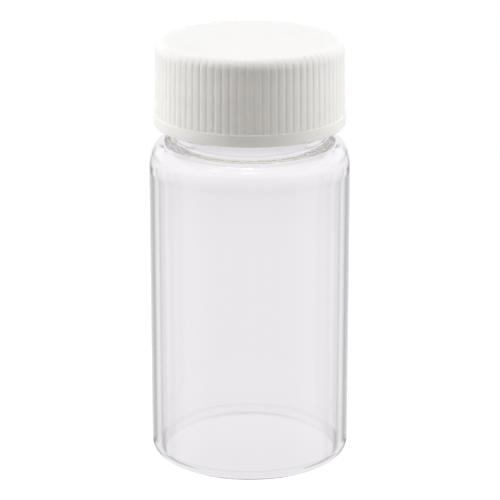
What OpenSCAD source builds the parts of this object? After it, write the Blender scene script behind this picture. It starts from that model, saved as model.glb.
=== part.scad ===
// Screw-cap sample vial: a glass vial formed from tube, a ribbed moulded cap and the cap's sealing liner.
// Millimetres, +Z up. The vial stands on z = 0 and its axis is the Z axis.

/* [Vial body] */
// Outside diameter of the straight wall
body_d = 28; // [26:0.5:36]
// Height of the glass, from the foot to the rim
vial_h = 57; // [46:0.5:90]
// Thickness of the straight wall
wall_t = 1.2; // [0.8:0.1:1.8]
// Thickness of the floor at the axis
floor_t = 0.65; // [0.5:0.05:2.5]
// Height of the hollow under the floor, at the axis
push_up = 0.3; // [0.2:0.1:1.2]
// Width of the ring that the vial stands on
foot_w = 0.4; // [0.3:0.1:3]
// Radius of the outer edge of the base
heel_r = 1.8; // [0.8:0.1:2.2]
// Radius inside, between the floor and the wall
inner_heel_r = 1; // [0.8:0.1:3]
// Radius of the shoulder's lower arc, outside
shoulder_r = 6; // [4:0.1:7]
// Angle through which the lower arc turns before the tighter one takes over
shoulder_turn = 24; // [10:1:50]
// Radius of the tighter arc, outside, that levels the shoulder off into its crown
crown_r = 2.2; // [1.6:0.1:3]
// Radius of the shoulder, inside
inner_shoulder_r = 3.3; // [2.5:0.1:4]
// Thickness of the glass at the shoulder's level crown
shoulder_t = 1.05; // [0.8:0.05:1.4]

/* [Neck] */
// Diameter of the neck between its threads
neck_d = 21.6; // [20.8:0.1:22]
// Thickness of the glass in the neck
neck_t = 2.05; // [1.4:0.05:3]
// Distance from the shoulder's level crown to the rim
finish_h = 11.25; // [10:0.05:13]
// Radius where the shoulder runs into the neck
neck_root_r = 0.8; // [0.4:0.1:1.2]
// Radius of the rim's two edges
rim_r = 0.55; // [0.3:0.05:0.9]
// Radius at the bottom of the bore, where it opens into the body
bore_edge_r = 0.8; // [0.5:0.1:1.2]

/* [Thread] */
// Rise of the thread in one turn
thread_pitch = 3.175; // [2.8:0.025:3.6]
// Height of the glass thread above the neck
thread_h = 1.05; // [0.7:0.05:1.2]
// Width of the glass thread at its root
thread_root_w = 2; // [1.6:0.1:2.2]
// Width of the glass thread at its crest
thread_crest_w = 0.8; // [0.5:0.1:1]
// Depth of the upper end of the glass thread below the rim
thread_top = 2.4; // [2:0.1:3]
// Height of the lower end of the glass thread above the neck's root
thread_foot = 3.3; // [1.6:0.1:4]
// Depth of the upper end of the cap's thread below the liner
cap_thread_top = 1.9; // [1.5:0.1:3]
// Height of the lower end of the cap's thread above the cap's mouth
cap_thread_foot = 2; // [1.4:0.1:3]
// Width of the cap's thread at its root
cap_thread_root_w = 1.7; // [1.4:0.1:1.9]
// Width of the cap's thread at its crest
cap_thread_crest_w = 0.7; // [0.5:0.1:0.9]
// Angle over which a thread runs out at each end
run_out = 40; // [20:5:60]

/* [Cap] */
// Thickness of the skirt in the plain band at the cap's mouth
band_t = 1.15; // [1:0.05:2]
// Height of the plain band
band_h = 1.8; // [1:0.1:3]
// How far the band stands proud of the ribs
band_step = 0.1; // [0.05:0.01:0.3]
// How much nearer the axis the ribs are at the top of the skirt than at the band
skirt_taper = 0.15; // [0.05:0.05:0.3]
// Thickness of the cap's top
cap_top_t = 1.5; // [1:0.1:2.5]
// Radius of the cap's top edge
cap_edge_r = 1.45; // [0.8:0.05:2]
// Radius of the band's lower edge
band_edge_r = 0.45; // [0.2:0.05:0.7]
// Chamfer inside the mouth of the cap
mouth_chamfer = 0.4; // [0.2:0.05:0.6]
// Number of ribs round the skirt
rib_n = 76; // [40:1:90]
// Radius of each rib's rounded flanks
rib_r = 1.1; // [0.7:0.05:1.4]
// Amount that each rib's crest is cut down to a narrow land
rib_land = 0.03; // [0.02:0.01:0.06]

/* [Liner] */
// Thickness of the liner
liner_t = 1.4; // [0.8:0.1:2.5]
// Clearance between the liner's edge and the cap's wall
liner_gap = 0.3; // [0.1:0.05:0.5]
// Chamfer round the liner's edges
liner_edge = 0.15; // [0.05:0.05:0.3]

/* [Fits] */
// Clearance between the crest of one thread and the root of the other
thread_gap = 0.25; // [0.2:0.05:0.5]
// Play along the axis between the two threads on the side that bears
thread_play = 0.15; // [0.1:0.05:0.4]
// Clearance between the neck's root and the level of the cap's mouth
mouth_gap = 1.45; // [0.2:0.05:2]

/* [Hidden] */
$fn = 96;
// Steps in a quarter turn of a rounded profile, and in the shallow dome of the floor
arc_steps = 10;
dome_steps = 8;
// Steps in one turn of a thread
turn_steps = 40;
// How far a thread's root is sunk into the wall that carries it
sink = 0.2;
// How far a cutter runs past the surface that it cuts
past = 1;

body_r = body_d / 2;
inner_r = body_r - wall_t;
neck_r = neck_d / 2;
bore_r = neck_r - neck_t;

// Centres of the shoulder's two arcs, and of the one that turns it up into the neck
crown_z = vial_h - finish_h;
crown_mid_z = crown_z - crown_r;
shoulder_x = body_r - shoulder_r;
shoulder_z = crown_mid_z - (shoulder_r - crown_r) * sin(shoulder_turn);
crown_x = shoulder_x + (shoulder_r - crown_r) * cos(shoulder_turn);
root_x = neck_r + neck_root_r;
root_off = max(0, root_x - crown_x);
root_z = crown_mid_z + rolled(crown_r, neck_root_r, root_off);

// The vial's rim carries the liner, and the liner carries the cap.
liner_z = vial_h;
cap_inner_top = liner_z + liner_t;
cap_top = cap_inner_top + cap_top_t;
cap_bottom = root_z + mouth_gap;
cap_h = cap_top - cap_bottom;
cap_inner_r = neck_r + thread_h + thread_gap;
liner_r = cap_inner_r - liner_gap;
band_r = cap_inner_r + band_t;
rib_bottom_r = band_r - band_step;
rib_top_r = rib_bottom_r - skirt_taper;
rib_z = cap_bottom + band_h;
edge_z = cap_top - cap_edge_r;
draft = atan(skirt_taper / (edge_z - rib_z));

// Both threads follow one right-hand helix. The cap's lies under the glass one, and a tightened
// cap bears on their facing flanks, so the drop between them comes from their widths and the play.
thread_low_z = root_z + thread_foot;
thread_high_z = vial_h - thread_top;
gap_share = thread_gap / thread_h;
width_at_neck = thread_root_w + (thread_crest_w - thread_root_w) * gap_share + cap_thread_crest_w;
width_at_wall = cap_thread_root_w + (cap_thread_crest_w - cap_thread_root_w) * gap_share + thread_crest_w;
thread_drop = max(width_at_neck, width_at_wall) / 2 + thread_play;
cap_thread_low_z = cap_bottom + cap_thread_foot;
cap_thread_high_z = liner_z - cap_thread_top;
// Angle at which the cap's thread begins, measured from the lower end of the glass one
cap_thread_from = 360 * (cap_thread_low_z - thread_low_z + thread_drop) / thread_pitch;

// Points on an arc about [cx, cz] in a profile, from angle a0 to a1
function arc(cx, cz, r, a0, a1, steps = arc_steps) =
    let (n = max(2, ceil(abs(a1 - a0) / 90 * steps)))
    [for (i = [0:n]) let (a = a0 + (a1 - a0) * i / n) [cx + r * cos(a), cz + r * sin(a)]];

// How high a circle of radius r that rolls outside one of radius big sits when it is x off its axis
function rolled(big, r, x) = sqrt(pow(big + r, 2) - pow(x, 2));

// Half of the vial's section, from the underside's middle round the outside, the rim and the inside
function vial_outline() =
    let (
        foot_r = body_r - heel_r - foot_w,
        dome_r = (pow(foot_r, 2) + pow(push_up, 2)) / (2 * push_up),
        dome_z = push_up - dome_r,
        dome_a = acos(foot_r / dome_r),
        root_a = atan2(root_z - crown_mid_z, root_off),
        inner_x = inner_r - inner_shoulder_r,
        inner_z = crown_z - shoulder_t - inner_shoulder_r,
        edge_x = bore_r + bore_edge_r,
        edge_off = max(0, edge_x - inner_x),
        edge_up = rolled(inner_shoulder_r, bore_edge_r, edge_off),
        edge_a = atan2(edge_up, edge_off),
        heel_x = inner_r - inner_heel_r,
        heel_up = rolled(dome_r + floor_t, inner_heel_r, heel_x),
        heel_a = atan2(heel_up, heel_x)
    )
    concat(
        arc(0, dome_z, dome_r, 90, dome_a, dome_steps * 90 / (90 - dome_a)),
        arc(body_r - heel_r, heel_r, heel_r, -90, 0),
        arc(shoulder_x, shoulder_z, shoulder_r, 0, shoulder_turn),
        arc(crown_x, crown_mid_z, crown_r, shoulder_turn, root_a),
        arc(root_x, root_z, neck_root_r, root_a + 180, 180),
        arc(neck_r - rim_r, vial_h - rim_r, rim_r, 0, 90),
        arc(bore_r + rim_r, vial_h - rim_r, rim_r, 90, 180),
        arc(edge_x, inner_z + edge_up, bore_edge_r, 180, edge_a + 180),
        arc(inner_x, inner_z, inner_shoulder_r, edge_a, 0),
        arc(heel_x, dome_z + heel_up, inner_heel_r, 0, heel_a - 180),
        arc(0, dome_z, dome_r + floor_t, heel_a, 90, dome_steps * 90 / (90 - heel_a))
    );

// A thread as one solid swept up a helix about the Z axis, whose middle runs from height low to
// height high and begins at angle from. dir is 1 where it stands out of a neck, and -1 where it
// stands inward from a wall.
module thread(root_r, dir, h, root_w, crest_w, low, high, from) {
    n = round((high - low) / thread_pitch * turn_steps);
    // Corners of the section: the sunk root, the two flanks' tops and the blunted crest
    deep_w = root_w + (root_w - crest_w) / h * sink;
    blunt = crest_w / 4;
    section = [[-sink, -deep_w / 2], [h - blunt, -crest_w / 2], [h, -crest_w / 2 + blunt],
               [h, crest_w / 2 - blunt], [h - blunt, crest_w / 2], [-sink, deep_w / 2]];
    m = len(section);
    points = [
        for (i = [0:n])
            let (
                a = i * 360 / turn_steps,
                end = min(1, min(a, n * 360 / turn_steps - a) / run_out),
                // At each end the section sinks until it lies wholly inside the wall
                rise = sin(90 * end)
            )
            for (p = section)
                let (out = p[0] < 0 ? p[0] : -sink / 2 + (p[0] + sink / 2) * rise, r = root_r + dir * out)
                [r * cos(from + a), r * sin(from + a), low + p[1] + thread_pitch * a / 360]
    ];
    sides = [
        for (i = [0:n - 1], j = [0:m - 1])
            let (p = i * m + j, q = i * m + (j + 1) % m)
            each (dir > 0 ? [[p, q, q + m], [p, q + m, p + m]] : [[p, q + m, q], [p, p + m, q + m]])
    ];
    first = [for (j = [0:m - 1]) dir > 0 ? m - 1 - j : j];
    last = [for (j = [0:m - 1]) n * m + (dir > 0 ? j : m - 1 - j)];
    polyhedron(points, concat(sides, [first, last]));
}

// The glass: one piece, drawn from tube, with its thread rolled in
module glass_vial() {
    color([0.91, 0.92, 0.93, 0.4])
    union() {
        rotate_extrude() polygon(vial_outline());
        thread(neck_r, 1, thread_h, thread_root_w, thread_crest_w, thread_low_z, thread_high_z, 0);
    }
}

// The cut between two ribs, in plan, with the ribs' outer radius at x = 0 and the valley on the X axis
module rib_groove_plan() {
    half = 180 / rib_n;
    rib_at = rib_bottom_r + rib_land - rib_r;
    x = rib_at * cos(half) - rib_bottom_r;
    y = rib_at * sin(half);
    land = sqrt(pow(rib_r, 2) - pow(rib_r - rib_land, 2));
    difference() {
        translate([x, -y + land / 2]) square([past - x, 2 * y - land]);
        for (side = [-1, 1]) translate([x, side * y]) circle(rib_r);
    }
}

// All the cuts between the ribs, leaning in with the skirt's draft and run up through its rounded edge
module rib_grooves() {
    for (i = [0:rib_n - 1])
        rotate(i * 360 / rib_n)
            translate([rib_bottom_r, 0, rib_z])
                rotate([0, -draft, 0])
                    linear_extrude(cap_h) rib_groove_plan();
}

// The moulded cap: a ribbed skirt over a plain band, with the thread inside
module screw_cap() {
    color([0.93, 0.93, 0.92])
    union() {
        difference() {
            rotate_extrude() polygon(concat(
                arc(band_r - band_edge_r, cap_bottom + band_edge_r, band_edge_r, -90, 0),
                [[band_r, rib_z], [rib_bottom_r, rib_z]],
                arc(rib_top_r - cap_edge_r, edge_z, cap_edge_r, 0, 90),
                [[0, cap_top], [0, cap_inner_top], [cap_inner_r, cap_inner_top],
                 [cap_inner_r, cap_bottom + mouth_chamfer], [cap_inner_r + mouth_chamfer, cap_bottom]]
            ));
            rib_grooves();
        }
        thread(cap_inner_r, -1, thread_h, cap_thread_root_w, cap_thread_crest_w,
               cap_thread_low_z, cap_thread_high_z, cap_thread_from);
    }
}

// The foamed disc that seals on the rim
module cap_liner() {
    color([0.96, 0.96, 0.95])
    rotate_extrude() polygon([
        [0, liner_z], [liner_r - liner_edge, liner_z], [liner_r, liner_z + liner_edge],
        [liner_r, cap_inner_top - liner_edge], [liner_r - liner_edge, cap_inner_top], [0, cap_inner_top]
    ]);
}

glass_vial();
screw_cap();
cap_liner();
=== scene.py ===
"""A screw-cap glass sample vial on a plain white sweep. Lengths in the geometry are in millimetres until
they are meshed."""
import math

import bpy
import numpy as np
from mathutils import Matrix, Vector


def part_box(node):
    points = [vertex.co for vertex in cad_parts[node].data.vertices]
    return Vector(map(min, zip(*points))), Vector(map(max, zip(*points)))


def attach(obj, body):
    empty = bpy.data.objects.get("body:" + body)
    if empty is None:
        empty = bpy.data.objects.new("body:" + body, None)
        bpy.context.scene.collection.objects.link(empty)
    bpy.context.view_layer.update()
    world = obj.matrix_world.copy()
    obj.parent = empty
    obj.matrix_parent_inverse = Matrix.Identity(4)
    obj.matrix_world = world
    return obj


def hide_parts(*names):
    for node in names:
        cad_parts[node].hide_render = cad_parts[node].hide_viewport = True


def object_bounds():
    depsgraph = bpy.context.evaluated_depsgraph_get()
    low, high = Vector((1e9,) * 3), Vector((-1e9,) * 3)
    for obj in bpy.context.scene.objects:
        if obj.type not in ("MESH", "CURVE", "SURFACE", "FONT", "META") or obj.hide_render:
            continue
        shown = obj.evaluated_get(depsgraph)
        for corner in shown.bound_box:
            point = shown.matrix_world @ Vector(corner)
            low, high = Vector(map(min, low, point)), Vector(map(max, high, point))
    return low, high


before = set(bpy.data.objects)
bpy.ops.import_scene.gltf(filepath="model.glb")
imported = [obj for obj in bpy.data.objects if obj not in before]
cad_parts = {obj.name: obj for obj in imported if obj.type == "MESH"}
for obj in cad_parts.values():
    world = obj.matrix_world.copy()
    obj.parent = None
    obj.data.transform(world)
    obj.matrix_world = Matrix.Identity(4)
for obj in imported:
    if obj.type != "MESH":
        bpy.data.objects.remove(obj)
cad_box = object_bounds()

MM = 0.001
TAU = 2 * math.pi


def box_mm(node):
    """The node's box in millimetres: its largest radius, its lowest height and its highest height."""
    low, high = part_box(node)
    return high[0] / MM, low[2] / MM, high[2] / MM


# ---- sizes: the boxes give the driving ones, and the rest are the part's own values ----

body_r, foot_z, rim_z = box_mm("glass_vial")
band_r, mouth_z, cap_top = box_mm("screw_cap")
liner_r, liner_z, liner_top = box_mm("cap_liner")

wall_t = 1.2
floor_t = 0.65
push_up = 0.3
foot_w = 0.4
heel_r = 1.8
inner_heel_r = 1.0
shoulder_r = 6.0
shoulder_turn = 24.0
crown_r = 2.2
finish_h = 11.25
crown_z = rim_z - finish_h
inner_shoulder_r = 3.3
shoulder_t = 1.05

neck_r = 10.8
neck_t = 2.05
bore_r = neck_r - neck_t
# wider than the CAD's, which widens the bright ring that shows under the cap
neck_root_r = 3.0
rim_r = 0.55
bore_edge_r = 0.8

thread_pitch = 3.175
thread_h = 1.05
# between a crest and the wall that it faces
thread_gap = 0.25
# between the facing flanks of the two threads
thread_play = 0.15
# widths at the root and at the crest
vial_thread_w = (2.0, 0.8)
cap_thread_w = (1.7, 0.7)
# from the cap's mouth and from the rim to the ends of the glass thread
vial_thread_foot = 1.85
vial_thread_top = 2.4
# from the cap's mouth and from the liner to the ends of the cap's thread
cap_thread_foot = 2.0
cap_thread_top = 1.9
run_out = math.radians(40)

cap_inner_r = neck_r + thread_h + thread_gap
cap_edge_r = 1.45
band_h = 1.8
band_step = 0.1
band_edge_r = 0.45
ledge_r = 0.08
mouth_chamfer = 0.4
skirt_taper = 0.15
rib_n = 76
rib_r = 1.1
rib_land = 0.03
# the share of the ribs' depth that is left where they have run over the cap's rounded edge
rib_over = 0.4
# where on the flat top they end, as a share of its radius
rib_end = 0.56

liner_edge_r = 0.15
# air on both sides of the liner, so that its faces don't lie in the rim's and the cap's
liner_air = 0.02


# ---- lathe profiles ----

def arc(cx, cz, r, a0, a1, step=6.0):
    """Points on an arc in a profile, from angle a0 to a1 in degrees."""
    n = max(2, math.ceil(abs(a1 - a0) / step))
    angles = [math.radians(a0 + (a1 - a0) * i / n) for i in range(n + 1)]
    return [(cx + r * math.cos(a), cz + r * math.sin(a)) for a in angles]


def line(p, q, longest, near=0.12):
    """Points between p and q, without them: one close to each end, and the rest at most longest apart."""
    length = math.dist(p, q)
    if length <= 3 * near:
        return []
    n = max(1, math.ceil((length - 2 * near) / longest))
    steps = [near + (length - 2 * near) * i / n for i in range(n + 1)]
    return [(p[0] + (q[0] - p[0]) * s / length, p[1] + (q[1] - p[1]) * s / length) for s in steps]


def joined(*runs):
    """Profile runs joined end to end, with repeated points dropped."""
    points = []
    for run in runs:
        for p in run:
            if not points or math.dist(p, points[-1]) > 1e-6:
                points.append(p)
    return points


def rolled(big, r, x):
    """How high a circle of radius r that rolls outside one of radius big sits when it is x off its axis."""
    return math.sqrt((big + r) ** 2 - x ** 2)


def smooth(t):
    """0 up to 0, 1 from 1 on, and smooth between."""
    t = np.clip(t, 0, 1)
    return t * t * (3 - 2 * t)


def thread_height(phi, z, low, high, start, root_w, crest_w):
    """Height of a thread above its wall at each angle and height, for a helix from low to high that begins
    at angle start."""
    total = (high - low) / thread_pitch * TAU
    out = np.zeros(np.broadcast(phi, z).shape)
    first = np.mod(phi - start, TAU)
    for turn in range(-1, math.ceil(total / TAU) + 1):
        a = first + turn * TAU
        end = np.sin(np.pi / 2 * np.clip(np.minimum(a, total - a) / run_out, 0, 1))
        off = np.abs(z - (low + thread_pitch * a / TAU))
        out = np.maximum(out, thread_h * end * smooth((root_w / 2 - off) / ((root_w - crest_w) / 2)))
    return out


def even_angles(n):
    return np.arange(n) * TAU / n


def lathe(name, profile, angles, offset=None):
    """A closed mesh turned about Z from a profile whose ends lie on the axis. offset(angles, row) moves a
    row's points along the profile's outward side by that many millimetres."""
    p = np.array(profile)
    along = np.gradient(p, axis=0)
    along /= np.linalg.norm(along, axis=1, keepdims=True)
    out = np.stack([along[:, 1], -along[:, 0]], 1)
    n = len(angles)
    cos, sin = np.cos(angles), np.sin(angles)
    points, rings = [], []
    for i in range(len(p)):
        if p[i, 0] < 1e-6:
            rings.append([len(points)])
            points.append((0.0, 0.0, p[i, 1]))
            continue
        move = np.zeros(n) if offset is None else offset(angles, i)
        r = p[i, 0] + out[i, 0] * move
        z = p[i, 1] + out[i, 1] * move
        rings.append(list(range(len(points), len(points) + n)))
        points += list(zip(r * cos, r * sin, z))
    faces = []
    for a, b in zip(rings, rings[1:]):
        for j in range(n):
            k = (j + 1) % n
            if len(a) == 1:
                faces.append((a[0], b[k], b[j]))
            elif len(b) == 1:
                faces.append((a[j], a[k], b[0]))
            else:
                faces.append((a[j], a[k], b[k], b[j]))
    mesh = bpy.data.meshes.new(name)
    mesh.from_pydata([tuple(c * MM for c in q) for q in points], [], faces)
    mesh.validate()
    mesh.shade_smooth()
    piece = bpy.data.objects.new(name, mesh)
    bpy.context.scene.collection.objects.link(piece)
    return piece


# ---- the glass vial ----

def vial_profile():
    """From the middle of the underside, round the outside, the rim and the inside, to the floor's middle."""
    # the hollow under the floor
    foot_r = body_r - heel_r - foot_w
    dome_r = (foot_r ** 2 + push_up ** 2) / (2 * push_up)
    dome_z = push_up - dome_r
    dome_a = math.degrees(math.acos(foot_r / dome_r))
    inner_r = body_r - wall_t
    # the shoulder's two arcs outside, and the fillet into the neck
    turn = math.radians(shoulder_turn)
    crown_mid_z = crown_z - crown_r
    shoulder_x = body_r - shoulder_r
    shoulder_z = crown_mid_z - (shoulder_r - crown_r) * math.sin(turn)
    crown_x = shoulder_x + (shoulder_r - crown_r) * math.cos(turn)
    root_x = neck_r + neck_root_r
    root_z = crown_mid_z + rolled(crown_r, neck_root_r, root_x - crown_x)
    root_a = math.degrees(math.atan2(root_z - crown_mid_z, root_x - crown_x))
    # the shoulder inside, the edge where the bore opens into it, and the corner round the floor
    inner_x = inner_r - inner_shoulder_r
    inner_z = crown_z - shoulder_t - inner_shoulder_r
    edge_x = bore_r + bore_edge_r
    edge_z = inner_z + rolled(inner_shoulder_r, bore_edge_r, edge_x - inner_x)
    edge_a = math.degrees(math.atan2(edge_z - inner_z, edge_x - inner_x))
    heel_x = inner_r - inner_heel_r
    heel_z = dome_z + rolled(dome_r + floor_t, inner_heel_r, heel_x)
    heel_a = math.degrees(math.atan2(heel_z - dome_z, heel_x))
    dome_step = (90 - dome_a) / 14
    foot = (body_r - heel_r, foot_z)
    hollow = arc(0, dome_z, dome_r, 90, dome_a, dome_step)
    heel = arc(body_r - heel_r, heel_r, heel_r, -90, 0)
    shoulder = joined(
        arc(shoulder_x, shoulder_z, shoulder_r, 0, shoulder_turn, 4),
        arc(crown_x, crown_mid_z, crown_r, shoulder_turn, root_a, 4),
    )
    root = arc(root_x, root_z, neck_root_r, root_a + 180, 180, 8)
    rim_out = arc(neck_r - rim_r, rim_z - rim_r, rim_r, 0, 90, 10)
    rim_in = arc(bore_r + rim_r, rim_z - rim_r, rim_r, 90, 180, 10)
    bore_edge = arc(edge_x, edge_z, bore_edge_r, 180, edge_a + 180)
    inner_shoulder = arc(inner_x, inner_z, inner_shoulder_r, edge_a, 0, 4)
    inner_heel = arc(heel_x, heel_z, inner_heel_r, 0, heel_a - 180)
    floor = arc(0, dome_z, dome_r + floor_t, heel_a, 90, dome_step)
    return joined(
        hollow, line(hollow[-1], foot, 0.5), heel,
        line(heel[-1], shoulder[0], 3), shoulder, root,
        line(root[-1], rim_out[0], 0.13), rim_out,
        line(rim_out[-1], rim_in[0], 0.5), rim_in,
        line(rim_in[-1], bore_edge[0], 2), bore_edge, inner_shoulder,
        line(inner_shoulder[-1], inner_heel[0], 3), inner_heel, floor,
    )


def make_vial():
    profile = vial_profile()
    low = mouth_z + vial_thread_foot
    high = rim_z - vial_thread_top

    def threads(angles, i):
        r, z = profile[i]
        if abs(r - neck_r) > 1e-3:
            return np.zeros(len(angles))
        return thread_height(angles, z, low, high, 0.0, *vial_thread_w)

    return lathe("vial_glass", profile, even_angles(288), threads)


vial = make_vial()
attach(vial, "vial")
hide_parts("glass_vial")


# ---- the ribbed cap ----

def rib_angles():
    """Angles round the cap, closer together where a rib turns down into its valley."""
    shares = [0.0, 0.2, 0.42, 0.6, 0.76, 0.9, 1.0]
    half = TAU / rib_n / 2
    steps = [s * half for s in shares[:-1]] + [2 * half - s * half for s in reversed(shares[1:])]
    return np.array([i * 2 * half + s for i in range(rib_n) for s in steps])


def rib_depth(angles, r):
    """How far the skirt lies below the ribs' outer surface at each angle, as a number below 0. Each rib has
    rounded flanks and a narrow land."""
    half = TAU / rib_n / 2
    across = (np.mod(angles + half, 2 * half) - half) * (r - rib_r)
    height = np.sqrt(rib_r ** 2 - across ** 2) - rib_r + rib_land
    return np.minimum(height, 0.0)


def make_cap():
    rib_z = mouth_z + band_h
    rib_bottom_r = band_r - band_step
    rib_top_r = rib_bottom_r - skirt_taper
    edge_z = cap_top - cap_edge_r
    low_edge = arc(band_r - band_edge_r, mouth_z + band_edge_r, band_edge_r, -90, 0, 10)
    ledge = arc(band_r - ledge_r, rib_z - ledge_r, ledge_r, 0, 90, 30)
    skirt_foot = (rib_bottom_r, rib_z)
    edge = arc(rib_top_r - cap_edge_r, edge_z, cap_edge_r, 0, 90, 6)
    mouth = (cap_inner_r + mouth_chamfer, mouth_z)
    inside = (cap_inner_r, mouth_z + mouth_chamfer)
    corner = (cap_inner_r, liner_top)
    outer = joined(low_edge, line(low_edge[-1], ledge[0], 1), ledge, [skirt_foot])
    skirt_from = len(outer) - 1
    outer = joined(outer, line(skirt_foot, edge[0], 2.5), edge)
    skirt_to = len(outer)
    flat_r = edge[-1][0]
    profile = joined(
        [mouth], line(mouth, low_edge[0], 0.4), outer,
        [(flat_r * k, cap_top) for k in (0.98, 0.94, 0.88, 0.8, 0.72, 0.64, rib_end, 0.3, 0.0)],
    )
    shift = profile.index(outer[0])
    inner = joined(
        [(0.0, liner_top), (cap_inner_r * 0.5, liner_top), (cap_inner_r - 0.12, liner_top), corner],
        line(corner, inside, 0.2), [inside],
    )
    whole = profile + inner
    low = mouth_z + cap_thread_foot
    high = liner_z - cap_thread_top
    start = TAU * (cap_thread_foot - vial_thread_foot + thread_drop()) / thread_pitch

    def form(angles, i):
        r, z = whole[i]
        if skirt_from + shift <= i < skirt_to + shift:
            # full depth up the skirt, and less of it round the edge
            round_edge = math.acos(max(0.0, min(1.0, (r - flat_r) / cap_edge_r))) / (math.pi / 2)
            over = round_edge if z > edge_z else 0.0
            return rib_depth(angles, rib_bottom_r) * (1.0 + (rib_over - 1.0) * over)
        if skirt_to + shift <= i < len(profile):
            left = smooth((r / flat_r - rib_end) / (1.0 - rib_end))
            return rib_depth(angles, rib_bottom_r) * rib_over * left
        if i >= len(profile) and abs(r - cap_inner_r) < 1e-3:
            return thread_height(angles, z, low, high, start, *cap_thread_w)
        return np.zeros(len(angles))

    return lathe_ring("cap_shell", whole, len(profile), rib_angles(), form)


def thread_drop():
    """How far the cap's thread lies under the glass one: half of both widths where the two come closest, and
    the play."""
    share = thread_gap / thread_h
    vial_root, vial_crest = vial_thread_w
    cap_root, cap_crest = cap_thread_w
    at_neck = vial_root + (vial_crest - vial_root) * share + cap_crest
    at_wall = cap_root + (cap_crest - cap_root) * share + vial_crest
    return max(at_neck, at_wall) / 2 + thread_play


def lathe_ring(name, profile, split, angles, offset):
    """A lathe whose profile is two runs, parted at split: the first ends on the axis, the second begins on
    it, and their other ends meet. It is turned from the second run's start to the first one's end."""
    order = list(range(split, len(profile))) + list(range(split))
    run = [profile[i] for i in order]
    return lathe(name, run, angles, lambda a, i: offset(a, order[i]))


cap = make_cap()
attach(cap, "cap")
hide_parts("screw_cap")


# ---- the liner ----

def make_liner():
    edge = liner_edge_r
    under, over = liner_z + liner_air, liner_top - liner_air
    low = arc(liner_r - edge, under + edge, edge, -90, 0, 30)
    high = arc(liner_r - edge, over - edge, edge, 0, 90, 30)
    profile = joined(
        [(0.0, under), (liner_r * 0.5, under), (liner_r - 2 * edge, under)], low,
        line(low[-1], high[0], 0.5), high,
        [(liner_r - 2 * edge, over), (liner_r * 0.5, over), (0.0, over)],
    )
    return lathe("liner_disc", profile, even_angles(180))


liner = make_liner()
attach(liner, "liner")
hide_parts("cap_liner")


# ---- node helpers ----

def put(tree, socket, value):
    """Links value to the socket if it is a socket itself, and else stores it there."""
    if isinstance(value, bpy.types.NodeSocket):
        tree.links.new(value, socket)
    else:
        socket.default_value = value


def maths(tree, operation, *values):
    node = tree.nodes.new("ShaderNodeMath")
    node.operation = operation
    for socket, value in zip(node.inputs, values):
        put(tree, socket, value)
    return node.outputs[0]


def mixed(tree, factor, low, high, kind="FLOAT"):
    """low where factor is 0 and high where it is 1. kind is FLOAT for numbers and RGBA for colours."""
    node = tree.nodes.new("ShaderNodeMix")
    node.data_type = kind
    put(tree, node.inputs["Factor"], factor)
    put(tree, node.inputs["A"], low)
    put(tree, node.inputs["B"], high)
    return node.outputs["Result"]


def to_range(tree, source, low, high):
    """source, from 0 to 1, moved to the range from low to high."""
    node = tree.nodes.new("ShaderNodeMapRange")
    node.inputs["To Min"].default_value = low
    node.inputs["To Max"].default_value = high
    tree.links.new(source, node.inputs["Value"])
    return node.outputs["Result"]


def ease(tree, source, start, end):
    """0 where source is at start, 1 where it is at end, and smooth between them."""
    node = tree.nodes.new("ShaderNodeMapRange")
    node.interpolation_type = "SMOOTHSTEP"
    node.inputs["From Min"].default_value = start
    node.inputs["From Max"].default_value = end
    tree.links.new(source, node.inputs["Value"])
    return node.outputs["Result"]


def noise(tree, scale, detail, stretch=(1, 1, 1)):
    coord = tree.nodes.new("ShaderNodeTexCoord")
    mapping = tree.nodes.new("ShaderNodeMapping")
    mapping.inputs["Scale"].default_value = stretch
    tree.links.new(coord.outputs["Object"], mapping.inputs["Vector"])
    node = tree.nodes.new("ShaderNodeTexNoise")
    node.inputs["Scale"].default_value = scale
    node.inputs["Detail"].default_value = detail
    tree.links.new(mapping.outputs["Vector"], node.inputs["Vector"])
    return node.outputs["Fac"]


def ray_share(tree, *kinds):
    """1 for a ray of one of these kinds, and 0 for any other."""
    path = tree.nodes.new("ShaderNodeLightPath")
    total = path.outputs[kinds[0]]
    for kind in kinds[1:]:
        total = maths(tree, "MAXIMUM", total, path.outputs[kind])
    return total


# ---- materials ----

def material(name):
    mat = bpy.data.materials.new(name)
    mat.use_nodes = True
    tree = mat.node_tree
    return mat, tree, tree.nodes["Principled BSDF"]


def grey(level, warm=0.0):
    """A grey, or one that is a little short of blue, and of green by a third as much."""
    return (level, level - warm / 3, level - warm, 1)


def set_bump(tree, source, strength, distance, shader):
    node = tree.nodes.new("ShaderNodeBump")
    node.inputs["Strength"].default_value = strength
    node.inputs["Distance"].default_value = distance
    tree.links.new(source, node.inputs["Height"])
    tree.links.new(node.outputs["Normal"], shader.inputs["Normal"])


def clear_to(tree, shader, *kinds):
    """Rays of these kinds pass through the surface as if it weren't there."""
    clear = tree.nodes.new("ShaderNodeBsdfTransparent")
    mix = tree.nodes.new("ShaderNodeMixShader")
    tree.links.new(ray_share(tree, *kinds), mix.inputs["Fac"])
    tree.links.new(shader.outputs["BSDF"], mix.inputs[1])
    tree.links.new(clear.outputs["BSDF"], mix.inputs[2])
    tree.links.new(mix.outputs["Shader"], tree.nodes["Material Output"].inputs["Surface"])


def glass_material():
    mat, tree, shader = material("clear_glass")
    shader.inputs["Base Color"].default_value = grey(1.0)
    shader.inputs["Transmission Weight"].default_value = 1.0
    shader.inputs["IOR"].default_value = 1.51
    tree.links.new(to_range(tree, noise(tree, 700, 2.0), 0.0, 0.01), shader.inputs["Roughness"])
    # long waves up the wall, as drawn tube has
    set_bump(tree, noise(tree, 90, 1.0, (1, 1, 0.12)), 0.03, 0.0004, shader)
    # so that the lamps reach what is behind the glass
    clear_to(tree, shader, "Is Shadow Ray", "Is Diffuse Ray")
    return mat


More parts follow.
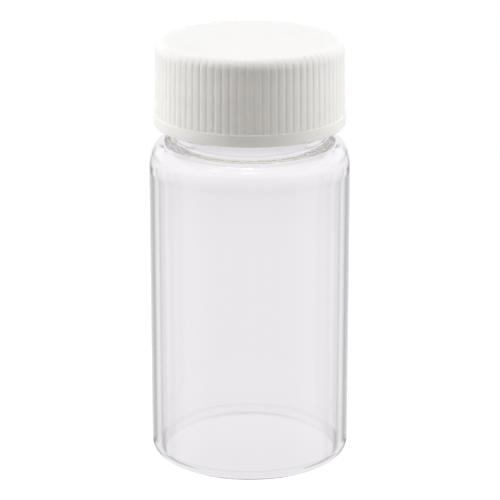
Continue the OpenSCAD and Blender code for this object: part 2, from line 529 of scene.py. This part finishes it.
def cap_material():
    mat, tree, shader = material("white_moulded_plastic")
    tone = noise(tree, 260, 2.0)
    colour = mixed(tree, tone, grey(0.80, 0.015), grey(0.83, 0.015), "RGBA")
    tree.links.new(colour, shader.inputs["Base Color"])
    shader.inputs["Subsurface Weight"].default_value = 0.9
    shader.inputs["Subsurface Radius"].default_value = (1.0, 0.9, 0.8)
    shader.inputs["Subsurface Scale"].default_value = 0.0012
    tree.links.new(to_range(tree, tone, 0.36, 0.46), shader.inputs["Roughness"])
    set_bump(tree, noise(tree, 5200, 2.0), 0.06, 0.00003, shader)
    return mat


def liner_material():
    mat, tree, shader = material("white_foam")
    shader.inputs["Base Color"].default_value = (0.9, 0.9, 0.89, 1)
    cells = noise(tree, 3800, 3.0)
    tree.links.new(to_range(tree, cells, 0.55, 0.75), shader.inputs["Roughness"])
    set_bump(tree, cells, 0.25, 0.00008, shader)
    return mat


def dress(piece, mat):
    piece.data.materials.clear()
    piece.data.materials.append(mat)


dress(vial, glass_material())
dress(cap, cap_material())
dress(liner, liner_material())


# ---- the white tent, floor, lamps and camera ----
# A direction into the tent has X to the right, Y to the back and Z up. A pair of numbers is where something
# begins in one of them and where it is whole.

# Round the back of the vial the tent has white panels, with grey gaps between them.
PANELS = 7.0
PANEL_LEVEL = 0.87
GAP_LEVEL = 0.28
GAP_POWER = 7.0
BACK = (0.0, 0.3)
GAP_FOOT = (-0.46, -0.39)
GAP_HEAD = (0.2, 0.1)

# What the glass shows at each Z.
SEEN_LEVELS = (
    (-1.0, 0.82), (1.0, 1.0),
    (-0.58, 0.86), (-0.44, 0.72), (-0.36, 0.87), (-0.3, 0.87), (-0.27, 0.82),
    (-0.21, 0.82), (-0.12, 0.88), (0.0, 0.93), (0.2, 0.97),
)
SEEN_TINT = (0.967, 0.947, 0.976, 1)
# It is darker low at both sides.
LOW_SIDE_LEVEL = 0.55
LOW_SIDE_X = (0.58, 0.68)
LOW_SIDE_Z = (-0.34, -0.42)

# What lights the vial and what it mirrors: darker at the front, and brighter high up.
FRONT = (-0.2, -0.85)
UP = (0.25, 0.9)
LIT_ROUND, LIT_FRONT, LIT_UP = 0.5, 0.16, 0.97
FRONT_TINT = (1.0, 0.95, 0.88, 1)
MIRROR_FRONT, MIRROR_UP = 0.3, 1.2
# Both sides are mirrored at this level, from a little below the level of the lens up.
MIRROR_SIDE = 1.0
SIDE_X = (0.4, 0.85)
SIDE_Z = (-0.1, 0.3)

# The floor's own colour, how much of white the lamps make of it, and what it glows with to be white.
FLOOR_TONE = 0.6
FLOOR_LIT = 0.5
FLOOR_WHITE = 1.08
FLOOR_REACH = 0.16

# Lamps: degrees round from the front, degrees up, metres off, metres across and brightness.
SIDE_LAMPS = (("left_side", -95, 3.4), ("right_side", 95, 3.1))
SIDE_LAMP_RISE, SIDE_LAMP_AWAY, SIDE_LAMP_SIZE = 22, 0.45, (0.3, 0.45)
STRIPS = ((0, 12.0), (-52, 4.0))
STRIP_RISES, STRIP_AWAY, STRIP_SIZE = (43, 76), 0.5, (0.11, 0.03)
LINER_LIGHT = 1.1

# A long lens, 19 degrees up and 25 body radii off, that looks a little higher than the vial's middle.
CAMERA_RISE = 19.029
CAMERA_TILT = 1.2645
CAMERA_AWAY = 24.861
CAMERA_HEIGHT = 1.540
LENS_PX, SENSOR_MM, PICTURE_PX = 2460, 36, 500

# Light goes through the glass and round inside the cap many times.
BOUNCES = {
    "max_bounces": 64, "diffuse_bounces": 16, "glossy_bounces": 48, "transmission_bounces": 64,
    "transparent_max_bounces": 32,
}


def tent_gaps(tree, way):
    """1 at the middle of each gap between the panels, and 0 on the panels and away from them."""
    turn = maths(tree, "ARCTAN2", way.outputs["X"], way.outputs["Y"])
    wave = maths(tree, "COSINE", maths(tree, "MULTIPLY", turn, PANELS))
    gap = maths(tree, "POWER", maths(tree, "MULTIPLY_ADD", wave, -0.5, 0.5), GAP_POWER)
    for axis, limits in (("Y", BACK), ("Z", GAP_FOOT), ("Z", GAP_HEAD)):
        gap = maths(tree, "MULTIPLY", gap, ease(tree, way.outputs[axis], *limits))
    return gap


def seen_levels(tree, way):
    ramp = tree.nodes.new("ShaderNodeValToRGB")
    stops = ramp.color_ramp.elements
    for i, (z, level) in enumerate(SEEN_LEVELS):
        stop = stops[i] if i < 2 else stops.new(0.5)
        stop.position = (z + 1) / 2
        stop.color = grey(level)
    tree.links.new(maths(tree, "MULTIPLY_ADD", way.outputs["Z"], 0.5, 0.5), ramp.inputs["Fac"])
    return ramp.outputs["Color"]


def make_world():
    """The tent, which is plain white to the camera, and has one set of levels for what the glass shows, one
    for what is mirrored and one for what lights the vial."""
    world = bpy.data.worlds.new("studio")
    bpy.context.scene.world = world
    world.use_nodes = True
    tree = world.node_tree
    back = tree.nodes["Background"]
    coord = tree.nodes.new("ShaderNodeTexCoord")
    way = tree.nodes.new("ShaderNodeSeparateXYZ")
    tree.links.new(coord.outputs["Generated"], way.inputs["Vector"])
    front = ease(tree, way.outputs["Y"], *FRONT)
    up = ease(tree, way.outputs["Z"], *UP)
    aside = maths(tree, "ABSOLUTE", way.outputs["X"])
    gaps = tent_gaps(tree, way)

    lit = mixed(tree, up, mixed(tree, front, LIT_ROUND, LIT_FRONT), LIT_UP)
    panels = mixed(tree, gaps, PANEL_LEVEL, GAP_LEVEL)
    mirrored = mixed(tree, up, mixed(tree, front, panels, MIRROR_FRONT), MIRROR_UP)
    side = maths(tree, "MULTIPLY", ease(tree, aside, *SIDE_X), ease(tree, way.outputs["Z"], *SIDE_Z))
    mirrored = mixed(tree, side, mirrored, MIRROR_SIDE)
    seen = mixed(tree, gaps, seen_levels(tree, way), GAP_LEVEL)
    low_side = maths(
        tree, "MULTIPLY", ease(tree, aside, *LOW_SIDE_X), ease(tree, way.outputs["Z"], *LOW_SIDE_Z))
    seen = mixed(tree, low_side, seen, LOW_SIDE_LEVEL)

    level = mixed(tree, ray_share(tree, "Is Glossy Ray"), lit, mirrored)
    level = mixed(tree, ray_share(tree, "Is Transmission Ray"), level, seen)
    level = mixed(tree, ray_share(tree, "Is Camera Ray"), level, 1.0)
    tree.links.new(level, back.inputs["Strength"])
    shade = maths(tree, "MULTIPLY", front, ray_share(tree, "Is Diffuse Ray"))
    tint = mixed(tree, shade, grey(1.0), FRONT_TINT, "RGBA")
    tint = mixed(tree, ray_share(tree, "Is Transmission Ray"), tint, SEEN_TINT, "RGBA")
    tree.links.new(tint, back.inputs["Color"])


def make_floor():
    mesh = bpy.data.meshes.new("floor")
    ring = [(FLOOR_REACH * math.cos(a), FLOOR_REACH * math.sin(a), 0.0) for a in even_angles(96)]
    mesh.from_pydata(ring, [], [tuple(range(len(ring)))])
    floor = bpy.data.objects.new("floor", mesh)
    bpy.context.scene.collection.objects.link(floor)
    mat, tree, shader = material("white_floor")
    shader.inputs["Base Color"].default_value = grey(FLOOR_TONE)
    tooth = noise(tree, 900, 2.0)
    tree.links.new(to_range(tree, tooth, 0.85, 0.95), shader.inputs["Roughness"])
    set_bump(tree, tooth, 0.05, 0.0001, shader)
    shader.inputs["Specular IOR Level"].default_value = 0.0
    shader.inputs["Emission Color"].default_value = grey(1.0)
    glow = mixed(tree, ray_share(tree, "Is Camera Ray"), 0.0, FLOOR_WHITE - FLOOR_LIT)
    tree.links.new(glow, shader.inputs["Emission Strength"])
    # The glass shows the tent below the floor's level too, as if the floor were one of its panels.
    clear_to(tree, shader, "Is Glossy Ray", "Is Transmission Ray")
    dress(floor, mat)


def lamp(name, turn, rise, away, size, radiance, mirrored=False):
    """A rectangular lamp that faces the vial, turn degrees round from the front, rise degrees up and away
    metres off. A mirrored one only shows in glossy surfaces, and any other one only lights them."""
    data = bpy.data.lights.new(name, "AREA")
    data.shape = "RECTANGLE"
    data.size, data.size_y = size
    data.energy = radiance * math.pi * size[0] * size[1]
    piece = bpy.data.objects.new(name, data)
    turn, rise = math.radians(turn), math.radians(rise)
    way = Vector((math.sin(turn) * math.cos(rise), -math.cos(turn) * math.cos(rise), math.sin(rise)))
    piece.location = (Vector(cad_box[0]) + Vector(cad_box[1])) / 2 + way * away
    piece.rotation_euler = way.to_track_quat("Z", "Y").to_euler()
    piece.visible_glossy = mirrored
    piece.visible_diffuse = not mirrored
    piece.visible_transmission = False
    bpy.context.scene.collection.objects.link(piece)


def liner_light():
    """Stands in for the light that the cap's top and the foam let through. It falls on the liner alone, from
    below."""
    data = bpy.data.lights.new("liner_light", "SUN")
    data.energy = LINER_LIGHT
    data.angle = math.radians(60)
    data.color = (1.0, 0.96, 0.91)
    piece = bpy.data.objects.new("liner_light", data)
    piece.rotation_euler = (math.pi, 0, 0)
    alone = bpy.data.collections.new("liner_alone")
    alone.objects.link(liner)
    piece.light_linking.receiver_collection = alone
    piece.light_linking.blocker_collection = alone
    bpy.context.scene.collection.objects.link(piece)


def make_camera():
    down = math.radians(CAMERA_RISE)
    aim = Vector((0, 0, CAMERA_HEIGHT * body_r * MM))
    data = bpy.data.cameras.new("camera")
    data.sensor_width = SENSOR_MM
    data.lens = LENS_PX * SENSOR_MM / PICTURE_PX
    data.shift_x = 0.0005
    data.clip_start, data.clip_end = 0.01, 10
    camera = bpy.data.objects.new("camera", data)
    camera.location = aim + Vector((0, -math.cos(down), math.sin(down))) * (CAMERA_AWAY * body_r * MM)
    camera.rotation_euler = (math.pi / 2 - down + math.radians(CAMERA_TILT), 0, 0)
    bpy.context.scene.collection.objects.link(camera)
    bpy.context.scene.camera = camera


make_world()
make_floor()
for name, turn, level in SIDE_LAMPS:
    lamp(name, turn, SIDE_LAMP_RISE, SIDE_LAMP_AWAY, SIDE_LAMP_SIZE, level)
for turn, level in STRIPS:
    for rise in STRIP_RISES:
        lamp(f"strip_{-turn}_{rise}", turn, rise, STRIP_AWAY, STRIP_SIZE, level, mirrored=True)
liner_light()
make_camera()
bpy.context.scene.view_settings.view_transform = "Standard"
for name, count in BOUNCES.items():
    setattr(bpy.context.scene.cycles, name, count)
